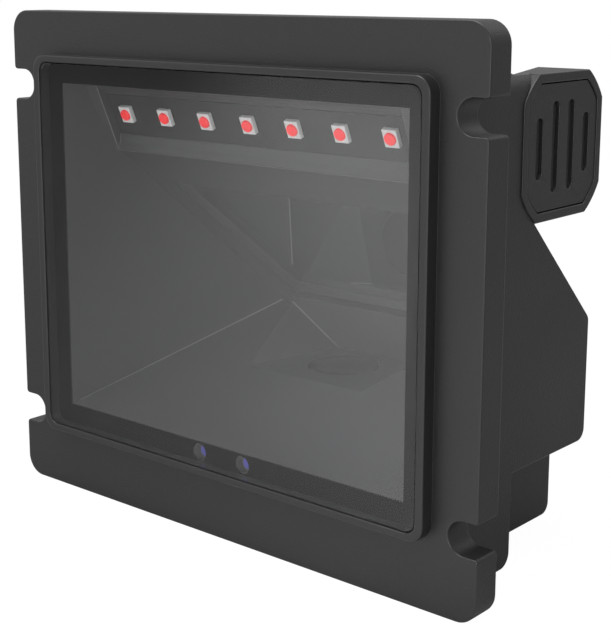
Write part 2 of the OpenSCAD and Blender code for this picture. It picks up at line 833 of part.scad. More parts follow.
// Outline of the pod and of its grille: a rectangle with its corners cut round
module pod_outline(w, h, d) {
    intersection() {
        square([w, h], center = true);
        circle(d = d);
    }
}

// Outline of the front body seen from behind, with round upper side edges
module body_outline() {
    side = housing_w / 2;
    translate([-side, flange_low]) square([housing_w, housing_top - shoulder_r - flange_low]);
    translate([-side + shoulder_r, flange_low])
        square([housing_w - 2 * shoulder_r, housing_top - flange_low]);
    for (s = [-1, 1])
        translate([s * (side - shoulder_r), housing_top - shoulder_r]) circle(shoulder_r);
}

// Speaker pod with its inner upper edge bevelled down, on a saddle that carries the body's side back to it
module pod_solid() {
    reach = 2 * pod_w;
    corner_l = (pod_w - sqrt(pod_d * pod_d - pod_h * pod_h)) / 2;
    saddle_low = wedge_roof(front_body_y + corner_l);
    intersection() {
        union() {
            translate([0, pod_y, pod_z]) along_x(pod_in, pod_face) pod_outline(pod_w, pod_h, pod_d);
            intersection() {
                along_y(front_body_y - shell_wall / 2, front_body_y + corner_l) body_outline();
                translate([pod_in, flange_t, saddle_low])
                    cube([housing_w, pod_y, pod_z + pod_h / 2 - saddle_low]);
            }
        }
        translate([housing_w / 2 - pod_bevel, front_body_y, pod_z + pod_h / 2]) rotate([0, 0, pod_turn])
            along_y(-reach, reach) polygon([[0, cut], [reach, cut], [reach, -reach], [-reach, -reach]]);
    }
}

// Straight front body with a round lower back edge
module front_body() {
    intersection() {
        along_y(flange_t, front_body_y) body_outline();
        along_x(-housing_w / 2, housing_w / 2) {
            translate([0, flange_low]) square([front_body_y - body_edge_r, flange_h]);
            translate([0, flange_low + body_edge_r]) square([front_body_y, flange_h]);
            translate([front_body_y - body_edge_r, flange_low + body_edge_r]) circle(body_edge_r);
        }
    }
}

// Wedge behind the front body, with a round upper and a round lower back edge
module wedge_solid() {
    start = front_body_y - shell_wall;
    steps = 6;
    turn = 90 - roof_angle;
    center = [wedge_y - wedge_top_r, wedge_roof(wedge_y) - wedge_top_r * tan(turn / 2)];
    top_edge = [for (i = [0 : steps]) center + wedge_top_r * [cos(i * turn / steps), sin(i * turn / steps)]];
    along_x(-housing_w / 2, housing_w / 2) {
        polygon(concat(
            [[start, wedge_low], [wedge_y - wedge_r, wedge_low], [wedge_y, wedge_low + wedge_r]],
            top_edge,
            [[front_body_y, wedge_roof(front_body_y)], [start, wedge_roof(front_body_y)]]
        ));
        translate([wedge_y - wedge_r, wedge_low + wedge_r]) circle(wedge_r);
    }
}

// Lower box under the wedge, with a round lower back edge
module box_solid() {
    start = front_body_y - shell_wall;
    height = wedge_low - box_low + shell_wall;
    along_x(-box_w / 2, box_w / 2) {
        translate([start, box_low]) square([box_y - box_edge_r - start, height]);
        translate([start, box_low + box_edge_r]) square([box_y - start, height - box_edge_r]);
        translate([box_y - box_edge_r, box_low + box_edge_r]) circle(box_edge_r);
    }
}

// Inside of the front body, the wedge and the lower box
module housing_space() {
    start = front_body_y - shell_wall - cut;
    wedge_back_in = wedge_y - shell_wall;
    body_in = front_body_y - shell_wall - flange_t + cut;
    translate([-side_in, flange_t - cut, flange_low + shell_wall])
        cube([2 * side_in, body_in, housing_top - flange_low - 2 * shell_wall]);
    along_x(-side_in, side_in) polygon([
        [start, wedge_low + shell_wall],
        [wedge_back_in, wedge_low + shell_wall],
        [wedge_back_in, wedge_roof(wedge_back_in) - wedge_in_drop],
        [start, wedge_roof(start) - wedge_in_drop]
    ]);
    translate([-box_w / 2 + shell_wall, start, box_floor])
        cube([box_w - 2 * shell_wall, box_y - shell_wall - start, wedge_low - box_low + shell_wall]);
}

// Post under a board's corner, and the pilot hole for its screw
module stand(h) {
    translate([0, 0, -h]) cylinder(d = stand_d, h = h);
}

module pilot_hole() {
    translate([0, 0, -small_grip + board_t]) cylinder(d = small_screw_d + fit, h = small_grip);
}

module rear_housing() {
    color(shell_colour) difference() {
        union() {
            difference() {
                union() {
                    front_body();
                    wedge_solid();
                    box_solid();
                    pod_solid();
                }
                housing_space();
            }
            at_housing_screws(flange_t)
                cylinder(d = housing_boss_d, h = front_body_y - shell_wall / 2 - flange_t);
            at_decoder_corners() stand(decoder_stand);
            at_interface_screws() stand(interface_stand);
            for (s = [-1, 1])
                translate([s * tongue_x, flange_t, tongue_z])
                    cube([tongue[0], 2 * tongue[1], tongue[2]], center = true);
        }
        at_housing_screws(0) cylinder(d = screw_d + 2 * fit, h = front_body_y);
        at_housing_screws(housing_seat_y) cylinder(d = screw_head_d + 2 * fit, h = front_body_y);
        at_decoder_corners() pilot_hole();
        at_interface_screws() pilot_hole();
        translate([0, pod_y, pod_z]) {
            along_x(seat_x, pod_face + cut) pod_outline(grille_w, grille_h, grille_d);
            along_x(basket_x, pod_face) circle(d = speaker_d + 2 * fit);
            along_x(sound_room_x, pod_face) circle(d = sound_room_d);
        }
        translate([-socket_x - socket_w / 2 - fit, box_y - 2 * shell_wall, socket_z - fit])
            cube([socket_w + 2 * fit, 3 * shell_wall, socket_h + 2 * fit]);
    }
}

// Grille let into the pod, with two long inner slots and two short outer ones
module speaker_grille() {
    color(shell_colour) translate([0, pod_y, pod_z]) along_x(seat_x, seat_x + grille_t) difference() {
        pod_outline(grille_w - 2 * fit, grille_h - 2 * fit, grille_d - 2 * fit);
        for (i = [0 : 3]) {
            slot_l = (i == 0 || i == 3) ? slot_outer_l : slot_inner_l;
            translate([(i - 1.5) * slot_pitch, 0]) {
                square([slot_w, slot_l - slot_w], center = true);
                for (s = [-1, 1])
                    translate([0, s * (slot_l - slot_w) / 2]) circle(d = slot_w);
            }
        }
    }
}

module speaker_gasket() {
    color([0.22, 0.22, 0.22]) translate([0, pod_y, pod_z]) along_x(speaker_x, seat_x) difference() {
        circle(d = speaker_d);
        circle(d = speaker_d - 2 * gasket_w);
    }
}

// Speaker basket: a cup that seats on the shoulder in the pod, with an open middle for the magnet
module speaker_frame() {
    color(steel_colour) translate([speaker_x, pod_y, pod_z]) rotate([0, -90, 0]) difference() {
        cylinder(d = speaker_d, h = basket_l);
        translate([0, 0, -cut]) cylinder(d = speaker_d - 2 * basket_wall, h = basket_l - basket_wall + cut);
        cylinder(d = magnet_d + 2 * fit, h = basket_l + cut);
    }
}

// Paper cone with a domed centre, held at the basket's rim
module speaker_cone() {
    rim_r = speaker_d / 2 - basket_wall - fit;
    rim_at = bond * 2;
    line = [[0, 0.4 * cone_dish], [rim_r / 3, 0.6 * cone_dish], [rim_r / 2, cone_dish], [rim_r, rim_at]];
    back = [for (i = [len(line) - 1 : -1 : 0]) line[i] + [0, cone_sheet]];
    color([0.30, 0.29, 0.27]) translate([speaker_x, pod_y, pod_z]) rotate([0, -90, 0]) rotate_extrude()
        polygon(concat(line, back));
}

module speaker_magnet() {
    color([0.55, 0.55, 0.57]) translate([speaker_x - magnet_start, pod_y, pod_z]) rotate([0, -90, 0])
        cylinder(d = magnet_d, h = magnet_l);
}

module housing_screws() {
    color(steel_colour) at_housing_screws(housing_seat_y)
        screw(screw_d, screw_head_d, screw_head_h, housing_seat_y - flange_t + screw_grip);
}

module chamber_screws() {
    color(steel_colour) at_chamber_screws(flange_t + ear_t)
        screw(screw_d, screw_head_d, screw_head_h, ear_t + screw_grip);
}

module camera_screws() {
    color(steel_colour) for (x = [-1, 1], y = [-1, 1])
        translate([x * post_x, camera_y + y * post_y, camera_board_z]) mirror([0, 0, 1])
            screw(small_screw_d, small_head_d, small_head_h, board_t + small_grip);
}

module decoder_screws() {
    color(steel_colour) at_decoder_corners() translate([0, 0, board_t])
        screw(small_screw_d, small_head_d, small_head_h, small_grip - fit);
}

module interface_screws() {
    color(steel_colour) at_interface_screws() translate([0, 0, board_t])
        screw(small_screw_d, small_head_d, small_head_h, small_grip - fit);
}

front_frame();
window_glass();
window_mask();
light_chamber();
fold_mirror();
led_board();
for (i = [1 : led_count]) {
    led(i);
    led_lens(i);
}
ir_emitter();
ir_receiver();
sensor_board();
lens_holder();
lens_barrel();
camera_lens();
image_sensor();
camera_board();
decoder_board();
decoder_chip();
memory_chip();
interface_board();
data_socket();
socket_contacts();
rear_housing();
speaker_grille();
speaker_gasket();
speaker_frame();
speaker_cone();
speaker_magnet();
housing_screws();
chamber_screws();
camera_screws();
decoder_screws();
interface_screws();
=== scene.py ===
import math

import bmesh
import bpy
from mathutils import Matrix, Vector
from mathutils.bvhtree import BVHTree


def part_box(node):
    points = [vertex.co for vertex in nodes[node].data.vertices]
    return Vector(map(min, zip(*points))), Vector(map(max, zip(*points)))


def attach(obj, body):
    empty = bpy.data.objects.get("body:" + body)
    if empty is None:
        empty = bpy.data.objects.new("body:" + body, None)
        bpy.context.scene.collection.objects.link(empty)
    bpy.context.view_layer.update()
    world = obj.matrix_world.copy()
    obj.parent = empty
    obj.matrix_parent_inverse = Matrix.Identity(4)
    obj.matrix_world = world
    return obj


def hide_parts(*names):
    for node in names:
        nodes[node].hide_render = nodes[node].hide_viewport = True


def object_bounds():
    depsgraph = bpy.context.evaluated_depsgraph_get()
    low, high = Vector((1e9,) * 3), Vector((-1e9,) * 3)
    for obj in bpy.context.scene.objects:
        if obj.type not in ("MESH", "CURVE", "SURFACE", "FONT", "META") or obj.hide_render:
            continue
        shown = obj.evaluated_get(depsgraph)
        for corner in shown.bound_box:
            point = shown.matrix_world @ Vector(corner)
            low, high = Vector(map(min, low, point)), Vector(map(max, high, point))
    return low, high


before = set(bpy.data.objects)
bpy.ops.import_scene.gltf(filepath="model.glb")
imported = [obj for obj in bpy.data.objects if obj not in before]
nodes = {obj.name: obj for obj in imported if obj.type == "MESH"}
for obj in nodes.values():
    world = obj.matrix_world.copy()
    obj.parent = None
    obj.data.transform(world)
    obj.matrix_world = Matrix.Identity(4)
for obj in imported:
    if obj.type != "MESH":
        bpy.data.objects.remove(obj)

cad_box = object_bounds()

# Studio: a camera to the right of the reader and a little above it, on a white sweep of paper.
# The paper burns out to plain white in the picture; to the left and behind, its colour is painted
# darker, a painted half shade.
# A large soft box hangs overhead, a smaller one stands behind, and a tall strip draws the edges.
bpy.context.scene.view_settings.view_transform = "Standard"

bpy.ops.object.select_all(action="DESELECT")
bpy.ops.object.camera_add()
camera = bpy.context.object
camera.name = "catalogue_camera"
camera.data.lens = 78.39
camera.data.sensor_width = 36.0
camera.data.shift_x = 0.0359
camera.data.shift_y = -0.1038
camera.data.clip_start = 0.01
camera.matrix_world = Matrix((
    (0.752814, -0.126157, 0.646030, 0.17209),
    (0.658232, 0.146040, -0.738514, -0.17913),
    (-0.001177, 0.981202, 0.192982, 0.05487),
    (0, 0, 0, 1),
))
bpy.context.scene.camera = camera


def new_finish(name):
    """A new material, its node tree and the surface shader in that tree."""
    made = bpy.data.materials.new(name)
    made.use_nodes = True
    return made, made.node_tree, made.node_tree.nodes["Principled BSDF"]


def floor_fade(tree, start, turn, length):
    """A value that rises from 0 to 1 over a length of floor, along a line at turn degrees to x."""
    place = tree.nodes.new("ShaderNodeTexCoord")
    laid = tree.nodes.new("ShaderNodeMapping")
    laid.inputs["Location"].default_value = (start, 0, 0)
    laid.inputs["Rotation"].default_value = (0, 0, math.radians(turn))
    laid.inputs["Scale"].default_value = (1 / length, 1 / length, 1 / length)
    rise = tree.nodes.new("ShaderNodeTexGradient")
    tree.links.new(place.outputs["Object"], laid.inputs["Vector"])
    tree.links.new(laid.outputs["Vector"], rise.inputs["Vector"])
    return rise.outputs["Fac"]


bpy.ops.object.select_all(action="DESELECT")
bpy.ops.mesh.primitive_plane_add(size=12.0, location=(0, 0, cad_box[0].z))
floor = bpy.context.object
floor.name = "studio_floor"
floor_paper, tree, paper = new_finish("floor_paper")
paper.inputs["Roughness"].default_value = 0.9
paper.inputs["Specular IOR Level"].default_value = 0.1
# Painted shade: the paper's own colour fades from pale to grey towards the left and behind.
painted_light_level = tree.nodes.new("ShaderNodeMath")
painted_light_level.operation = "MINIMUM"
painted_shade_ramp = tree.nodes.new("ShaderNodeValToRGB")
painted_shade_ramp.color_ramp.interpolation = "EASE"
painted_shade_ramp.color_ramp.elements[0].color = (0.34, 0.34, 0.34, 1)
painted_shade_ramp.color_ramp.elements[1].color = (0.95, 0.95, 0.95, 1)
burnt = tree.nodes.new("ShaderNodeEmission")
burnt.inputs["Strength"].default_value = 1.08
seen = tree.nodes.new("ShaderNodeLightPath")
burnt_share = tree.nodes.new("ShaderNodeMath")
burnt_share.operation = "MULTIPLY"
burnt_share.inputs[1].default_value = 0.9
sweep = tree.nodes.new("ShaderNodeMixShader")
tree.links.new(floor_fade(tree, start=0.5, turn=43, length=0.16), painted_light_level.inputs[0])
tree.links.new(floor_fade(tree, start=0.8, turn=127, length=0.1), painted_light_level.inputs[1])
tree.links.new(painted_light_level.outputs["Value"], painted_shade_ramp.inputs["Fac"])
tree.links.new(painted_shade_ramp.outputs["Color"], paper.inputs["Base Color"])
tree.links.new(seen.outputs["Is Camera Ray"], burnt_share.inputs[0])
tree.links.new(burnt_share.outputs["Value"], sweep.inputs["Fac"])
tree.links.new(paper.outputs["BSDF"], sweep.inputs[1])
tree.links.new(burnt.outputs["Emission"], sweep.inputs[2])
tree.links.new(sweep.outputs["Shader"], tree.nodes["Material Output"].inputs["Surface"])
floor.data.materials.append(floor_paper)


def soft_box(name, place, aim, width, height, power):
    """One soft box: an area lamp at place that faces aim, in metres and watts."""
    bpy.ops.object.select_all(action="DESELECT")
    bpy.ops.object.light_add(type="AREA", location=place)
    lamp = bpy.context.object
    lamp.name = name
    lamp.data.shape = "RECTANGLE"
    lamp.data.size = width
    lamp.data.size_y = height
    lamp.data.energy = power
    lamp.rotation_euler = (Vector(aim) - Vector(place)).to_track_quat("-Z", "Y").to_euler()


soft_box("overhead_box", (-0.25, -0.35, 1.45), (0, 0, 0), width=1.2, height=1.2, power=18.0)
soft_box("back_box", (0.35, 1.1, 0.95), (0, 0, 0), width=0.5, height=0.5, power=1.2)
soft_box("edge_strip", (0.85, -0.82, 0.33), (0, 0, 0.33), width=0.12, height=0.72, power=4.2)

sky = bpy.data.worlds.new("studio_sky")
sky.use_nodes = True
tree = sky.node_tree
room = tree.nodes["Background"]
room.inputs["Color"].default_value = (1, 1, 1, 1)
toward = tree.nodes.new("ShaderNodeTexCoord")
lit_side = tree.nodes.new("ShaderNodeVectorMath")
lit_side.operation = "DOT_PRODUCT"
lit_side.inputs[1].default_value = (-0.45, -0.6, 0.66)
level = tree.nodes.new("ShaderNodeMapRange")
level.inputs["From Min"].default_value = -1.0
level.inputs["To Min"].default_value = 0.31
level.inputs["To Max"].default_value = 0.92
white = tree.nodes.new("ShaderNodeBackground")
white.inputs["Color"].default_value = (1, 1, 1, 1)
white.inputs["Strength"].default_value = 1.03
seen = tree.nodes.new("ShaderNodeLightPath")
both = tree.nodes.new("ShaderNodeMixShader")
tree.links.new(toward.outputs["Generated"], lit_side.inputs[0])
tree.links.new(lit_side.outputs["Value"], level.inputs["Value"])
tree.links.new(level.outputs["Result"], room.inputs["Strength"])
tree.links.new(seen.outputs["Is Camera Ray"], both.inputs["Fac"])
tree.links.new(room.outputs["Background"], both.inputs[1])
tree.links.new(white.outputs["Background"], both.inputs[2])
tree.links.new(both.outputs["Shader"], tree.nodes["World Output"].inputs["Surface"])
bpy.context.scene.world = sky


# Front frame: flange and window bezel in one black ABS moulding from a fine spark-eroded mould,
# so the plastic has an even grain about a third of a millimetre across and a satin shine.
# The mould leaves a small, smoother radius on outer corners, and inner ones are nearly sharp.
def moulded_plastic(name, colour, grain, depth, roughness, shine=0.5):
    """Moulded plastic with a fine even grain of the given size and depth, in metres."""
    darker, paler = 0.82, 1.18
    smoother, rougher = 0.9, 1.1
    made, tree, skin = new_finish(name)
    skin.inputs["Specular IOR Level"].default_value = shine
    place = tree.nodes.new("ShaderNodeTexCoord")
    fine = tree.nodes.new("ShaderNodeTexNoise")
    fine.inputs["Scale"].default_value = 1.0 / grain
    fine.inputs["Detail"].default_value = 3.0
    cloud = tree.nodes.new("ShaderNodeTexNoise")
    cloud.inputs["Scale"].default_value = 40.0
    cloud.inputs["Detail"].default_value = 2.0
    tint = tree.nodes.new("ShaderNodeValToRGB")
    tint.color_ramp.elements[0].position = 0.25
    tint.color_ramp.elements[0].color = (*[part * darker for part in colour], 1)
    tint.color_ramp.elements[1].position = 0.75
    tint.color_ramp.elements[1].color = (*[part * paler for part in colour], 1)
    polish = tree.nodes.new("ShaderNodeMapRange")
    polish.inputs["To Min"].default_value = roughness * smoother
    polish.inputs["To Max"].default_value = roughness * rougher
    relief = tree.nodes.new("ShaderNodeBump")
    relief.inputs["Strength"].default_value = 0.5
    relief.inputs["Distance"].default_value = depth
    tree.links.new(place.outputs["Object"], fine.inputs["Vector"])
    tree.links.new(place.outputs["Object"], cloud.inputs["Vector"])
    tree.links.new(fine.outputs["Fac"], tint.inputs["Fac"])
    tree.links.new(tint.outputs["Color"], skin.inputs["Base Color"])
    tree.links.new(cloud.outputs["Fac"], polish.inputs["Value"])
    tree.links.new(polish.outputs["Result"], skin.inputs["Roughness"])
    tree.links.new(fine.outputs["Fac"], relief.inputs["Height"])
    tree.links.new(relief.outputs["Normal"], skin.inputs["Normal"])
    return made


def merged_copy(node, name, finishes):
    """A copy of a CAD node that stands for it, corners merged, left in edit mode all selected."""
    piece = bpy.data.objects.new(name, nodes[node].data.copy())
    bpy.context.collection.objects.link(piece)
    bpy.ops.object.select_all(action="DESELECT")
    piece.select_set(True)
    bpy.context.view_layer.objects.active = piece
    piece.data.materials.clear()
    for finish in finishes:
        piece.data.materials.append(finish)
    bpy.ops.mesh.customdata_custom_splitnormals_clear()
    bpy.ops.object.mode_set(mode="EDIT")
    bpy.ops.mesh.select_mode(type="EDGE")
    bpy.ops.mesh.select_all(action="SELECT")
    bpy.ops.mesh.remove_doubles(threshold=1e-6)
    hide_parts(node)
    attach(piece, "root")
    return piece


def whole_faced_copy(node, name, finishes):
    """A merged copy in which each flat face is one polygon, so that its edges can be rounded."""
    piece = merged_copy(node, name, finishes)
    bpy.ops.mesh.dissolve_limited(angle_limit=math.radians(0.5))
    return piece


def select_where(piece, kind, wanted):
    """Selects, in edit mode, the vertices, edges or faces of a piece that wanted() is true for."""
    bpy.ops.mesh.select_mode(type=kind)
    bpy.ops.mesh.select_all(action="DESELECT")
    skin = bmesh.from_edit_mesh(piece.data)
    for item in {"VERT": skin.verts, "EDGE": skin.edges, "FACE": skin.faces}[kind]:
        item.select = wanted(item)
    bmesh.update_edit_mesh(piece.data)


def fold(edge):
    """How far the surface turns at an edge: above zero on an outer corner, below on an inner."""
    return edge.calc_face_angle_signed() if len(edge.link_faces) == 2 else 0.0


def edge_middle(edge):
    """The point halfway along an edge."""
    return (edge.verts[0].co + edge.verts[1].co) / 2


def round_edges(piece, wanted, radius, segments=3):
    """Rounds the wanted edges in edit mode. The radii take the piece's second finish, if any."""
    select_where(piece, "EDGE", wanted)
    bpy.ops.mesh.bevel(
        offset=radius, segments=segments, affect="EDGES", clamp_overlap=False, material=1)


def shade_radii(piece):
    """Leaves edit mode and shades a piece's small radii smooth between its flat faces."""
    bpy.ops.mesh.select_all(action="SELECT")
    bpy.ops.mesh.quads_convert_to_tris()
    bpy.ops.object.mode_set(mode="OBJECT")
    bpy.ops.object.shade_smooth_by_angle(angle=math.radians(31))
    bpy.ops.object.modifier_add(type="WEIGHTED_NORMAL")
    piece.modifiers[-1].keep_sharp = True
    bpy.ops.object.modifier_apply(modifier=piece.modifiers[-1].name)


seat_half_width = 0.0463
seat_bottom, seat_top = -0.0415, 0.0395
seat_front = 0.0001


def behind_window(edge):
    """True for the frame's edges round the chamber's seat, which the window's border covers."""
    spot = edge_middle(edge)
    within = abs(spot.x) < seat_half_width and seat_bottom < spot.z < seat_top
    return within and spot.y > seat_front


shell_black = moulded_plastic(
    "shell_black", (0.0105, 0.0105, 0.0108), grain=0.0003, depth=0.0002, roughness=0.48)
# Painted highlight: the radii's finish is a little paler than the shell, besides being smoother.
edge_polish_and_painted_highlight = moulded_plastic(
    "edge_polish_and_painted_highlight", (0.0115, 0.0115, 0.0118), grain=0.0006, depth=0.00001, roughness=0.3)
sharp_corner = math.radians(30)
sharp_inner_corner = math.radians(35)
front_moulding = whole_faced_copy("front_frame", "front_moulding", (shell_black, edge_polish_and_painted_highlight))
round_edges(
    front_moulding, lambda edge: fold(edge) >= sharp_corner and not behind_window(edge),
    radius=0.0003)
round_edges(
    front_moulding, lambda edge: fold(edge) <= -sharp_inner_corner and not behind_window(edge),
    radius=0.00006)
shade_radii(front_moulding)


# Window: a clear acrylic pane let into the bezel and glued round its rim.
# It passes light straight and mirrors the studio a little, more where it is seen aslant.
def clear_sheet(name, mirrored_share):
    """Clear acrylic that mirrors a share of the light head on, and all at a grazing angle."""
    made, tree, skin = new_finish(name)
    tree.nodes.remove(skin)
    passing = tree.nodes.new("ShaderNodeBsdfTransparent")
    passing.inputs["Color"].default_value = (0.985, 0.99, 0.99, 1)
    gloss = tree.nodes.new("ShaderNodeBsdfGlossy")
    gloss.inputs["Roughness"].default_value = 0.06
    slant = tree.nodes.new("ShaderNodeLayerWeight")
    slant.inputs["Blend"].default_value = 0.5
    steep = tree.nodes.new("ShaderNodeMath")
    steep.operation = "POWER"
    steep.inputs[1].default_value = 5.0
    mirrored = tree.nodes.new("ShaderNodeMapRange")
    mirrored.inputs["To Min"].default_value = mirrored_share
    mirrored.inputs["To Max"].default_value = 1.0
    sheet = tree.nodes.new("ShaderNodeMixShader")
    tree.links.new(slant.outputs["Facing"], steep.inputs[0])
    tree.links.new(steep.outputs["Value"], mirrored.inputs["Value"])
    tree.links.new(mirrored.outputs["Result"], sheet.inputs["Fac"])
    tree.links.new(passing.outputs["BSDF"], sheet.inputs[1])
    tree.links.new(gloss.outputs["BSDF"], sheet.inputs[2])
    tree.links.new(sheet.outputs["Shader"], tree.nodes["Material Output"].inputs["Surface"])
    return made


def sharp(edge):
    """True where an edge is a sharp corner, inner or outer."""
    return abs(fold(edge)) >= sharp_corner


def softened_copy(node, name, finishes, radius, wanted=sharp):
    """A copy of a CAD node that stands for it, with a small radius on the wanted edges."""
    piece = whole_faced_copy(node, name, finishes)
    round_edges(piece, wanted, radius)
    shade_radii(piece)
    return piece


window_clear = clear_sheet("window_clear", mirrored_share=0.061)
window_pane = softened_copy("window_glass", "window_pane", (window_clear,), radius=0.0001)

# Border of the window: black ink screen-printed on the pane's back and backed with a thin card.
# The ink wets the acrylic, so its front lies just inside the pane and only the pane's front shines.
border_ink = moulded_plastic(
    "border_ink", (0.0025, 0.0025, 0.0027), grain=0.0004, depth=0.000001, roughness=0.8, shine=0.0)
ink_depth = 0.00005
flatness = 0.00001
card_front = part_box("window_mask")[0].y
window_border = whole_faced_copy("window_mask", "window_border", (border_ink,))
select_where(window_border, "VERT", lambda vert: vert.co.y < card_front + flatness)
bpy.ops.transform.translate(value=(0, -ink_depth, 0))
shade_radii(window_border)

# Light chamber: a funnel moulded in dark grey plastic, smooth inside, screwed to the front frame.
# Where two plates of its mould met, along the floor's sides, beside the camera recess and at the
# tray's ends, the plastic has a hair-thin radius, painted pale grey as a painted highlight.
chamber_grey = moulded_plastic(
    "chamber_grey", (0.0235, 0.0235, 0.0243), grain=0.0005, depth=0.000006, roughness=0.42)
# Painted highlight: a pale grey for the hair-thin radii, far paler than the chamber's grey.
chamber_painted_highlight = moulded_plastic(
    "chamber_painted_highlight", (0.20, 0.20, 0.20), grain=0.0005, depth=0.000002, roughness=0.35)
floor_highlight_lines = (
    ((41.62, 1.7, -30.23), (25.85, 47.0, -14.63)),
    ((22.75, 47.0, -14.63), (9.85, 47.0, -22.62)),
)
tray_highlight_lines = (
    ((37.1, 9.9, 21.25), (37.1, 4.35, 34.32)),
    ((37.1, 9.9, 21.25), (37.1, 10.36, 22.75)),
    ((37.1, 10.36, 22.75), (37.1, 10.64, 24.39)),
)


def along(edge, lines, nearness=0.05):
    """True for an edge along one of the lines, given in millimetres, or along its mirror image."""
    one, other = (vert.co for vert in edge.verts)
    ends = [Vector((abs(end.x), end.y, end.z)) * 1000 for end in (one, other)]
    return one.x * other.x > 0 and any(
        all(min((end - Vector(point)).length for end in ends) < nearness for point in line)
        for line in lines)


chamber_moulding = merged_copy("light_chamber", "chamber_moulding", (chamber_grey, chamber_painted_highlight))
for lines, radius in ((floor_highlight_lines, 0.00016), (tray_highlight_lines, 0.00007)):
    round_edges(chamber_moulding, lambda edge: along(edge, lines), radius, segments=2)
bpy.ops.mesh.select_all(action="SELECT")
bpy.ops.mesh.quads_convert_to_tris()
bpy.ops.object.mode_set(mode="OBJECT")
bpy.ops.object.shade_flat()

# Wall of the frame's window opening: it carries on the walls of the chamber behind it.
# After moulding it is masked off and sprayed in the chamber's grey, so that no step of tone shows.
opening_half_width = 0.0428
opening_bottom, opening_top = -0.0317, 0.0362
wall_front, wall_back = 0.00021, 0.0017
front_moulding.data.materials.append(chamber_grey)
sprayed = len(front_moulding.data.materials) - 1
for face in front_moulding.data.polygons:
    spot = face.center
    inside = abs(spot.x) < opening_half_width and opening_bottom < spot.z < opening_top
    if inside and wall_front < spot.y < wall_back and abs(face.normal.y) < 0.6:
        face.material_index = sprayed


# Fold mirror: front-silvered float glass behind an opening in the chamber's slanted roof, cut with
# ground edges and glued to a raised seat there. A faint haze of dust dulls the mirror unevenly.
def bright_metal(name, colour, roughness, spread, grain):
    """Bare or plated metal whose polish wanders by spread, in patches of the given size."""
    made, tree, skin = new_finish(name)
    skin.inputs["Metallic"].default_value = 1.0
    place = tree.nodes.new("ShaderNodeTexCoord")
    haze = tree.nodes.new("ShaderNodeTexNoise")
    haze.inputs["Scale"].default_value = 1.0 / grain
    haze.inputs["Detail"].default_value = 4.0
    polish = tree.nodes.new("ShaderNodeMapRange")
    polish.inputs["To Min"].default_value = max(roughness - spread, 0.01)
    polish.inputs["To Max"].default_value = roughness + spread
    tint = tree.nodes.new("ShaderNodeValToRGB")
    tint.color_ramp.elements[0].color = (*[part * 0.92 for part in colour], 1)
    tint.color_ramp.elements[1].color = (*colour, 1)
    tree.links.new(place.outputs["Object"], haze.inputs["Vector"])
    tree.links.new(haze.outputs["Fac"], polish.inputs["Value"])
    tree.links.new(haze.outputs["Fac"], tint.inputs["Fac"])
    tree.links.new(polish.outputs["Result"], skin.inputs["Roughness"])
    tree.links.new(tint.outputs["Color"], skin.inputs["Base Color"])
    return made


mirror_silver = bright_metal(
    "mirror_silver", (0.70, 0.71, 0.72), roughness=0.03, spread=0.02, grain=0.004)
ground_edge = moulded_plastic(
    "ground_edge", (0.04, 0.043, 0.043), grain=0.0002, depth=0.00001, roughness=0.7)
into_chamber = Vector((0, -0.7, -0.714))
mirror_plate = softened_copy(
    "fold_mirror", "mirror_plate", (mirror_silver, ground_edge), radius=0.00012)
for face in mirror_plate.data.polygons:
    face.material_index = 0 if face.normal.dot(into_chamber) > 0.99 else 1


# LED board: a strip of black lacquered laminate, pressed into the floor of the chamber's tray.
# Its matt lacquer is darker than the chamber round it.
def dress(names, finish):
    """Gives CAD nodes a finish."""
    for name in names:
        nodes[name].data.materials.clear()
        nodes[name].data.materials.append(finish)


led_board_black = moulded_plastic(
    "led_board_black", (0.005, 0.005, 0.0053), grain=0.0005, depth=0.000006, roughness=0.5,
    shine=0.25)
dress(("led_board",), led_board_black)


# LED packages: seven white ceramic blocks soldered to the board in a row, each with a round cup.
# One is rounded along its outer edges and copied for the other six.
def centre_of(node):
    """The middle of a CAD node's box."""
    low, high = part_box(node)
    return (low + high) / 2


def moved_copy(piece, name, shift):
    """A copy of a piece with its own mesh, moved by shift."""
    copy = bpy.data.objects.new(name, piece.data.copy())
    bpy.context.collection.objects.link(copy)
    copy.data.transform(Matrix.Translation(shift))
    return copy


led_ceramic = moulded_plastic(
    "led_ceramic", (0.66, 0.66, 0.66), grain=0.0004, depth=0.00001, roughness=0.5)
led_count = 7
shortest_block_edge = 0.0008
package = softened_copy(
    "led_1", "led_package_1", (led_ceramic,), radius=0.00007,
    wanted=lambda edge: sharp(edge) and edge.calc_length() >= shortest_block_edge)
led_shifts = {
    number: centre_of(f"led_{number}") - centre_of("led_1") for number in range(2, led_count + 1)}
for number, shift in led_shifts.items():
    copy = moved_copy(package, f"led_package_{number}", shift)
    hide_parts(f"led_{number}")
    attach(copy, "root")

# LED domes: a drop of red silicone cast into each cup, standing a little proud with a flat crown.
# The lit silicone glows evenly, so it shows hardly any shade.
led_red = moulded_plastic(
    "led_red", (0.85, 0.02, 0.025), grain=0.0004, depth=0.000002, roughness=0.3)
silicone = led_red.node_tree.nodes["Principled BSDF"]
silicone.inputs["Emission Color"].default_value = (1, 0.015, 0.02, 1)
silicone.inputs["Emission Strength"].default_value = 0.24
tray_slope = math.radians(67)
out_of_tray = Vector((0, -math.sin(tray_slope), -math.cos(tray_slope)))
drop_radius, drop_height = 0.00113, 0.00082
drop_lift = 0.00046
crown_radius = 0.00016
bpy.ops.object.select_all(action="DESELECT")
bpy.ops.mesh.primitive_cylinder_add(
    vertices=48, radius=drop_radius, depth=drop_height,
    location=centre_of("led_1") + out_of_tray * drop_lift, rotation=(math.pi - tray_slope, 0, 0))
dome = bpy.context.object
dome.name = "led_dome_1"
bpy.ops.object.mode_set(mode="EDIT")
select_where(dome, "FACE", lambda face: face.normal.z > 0.9)
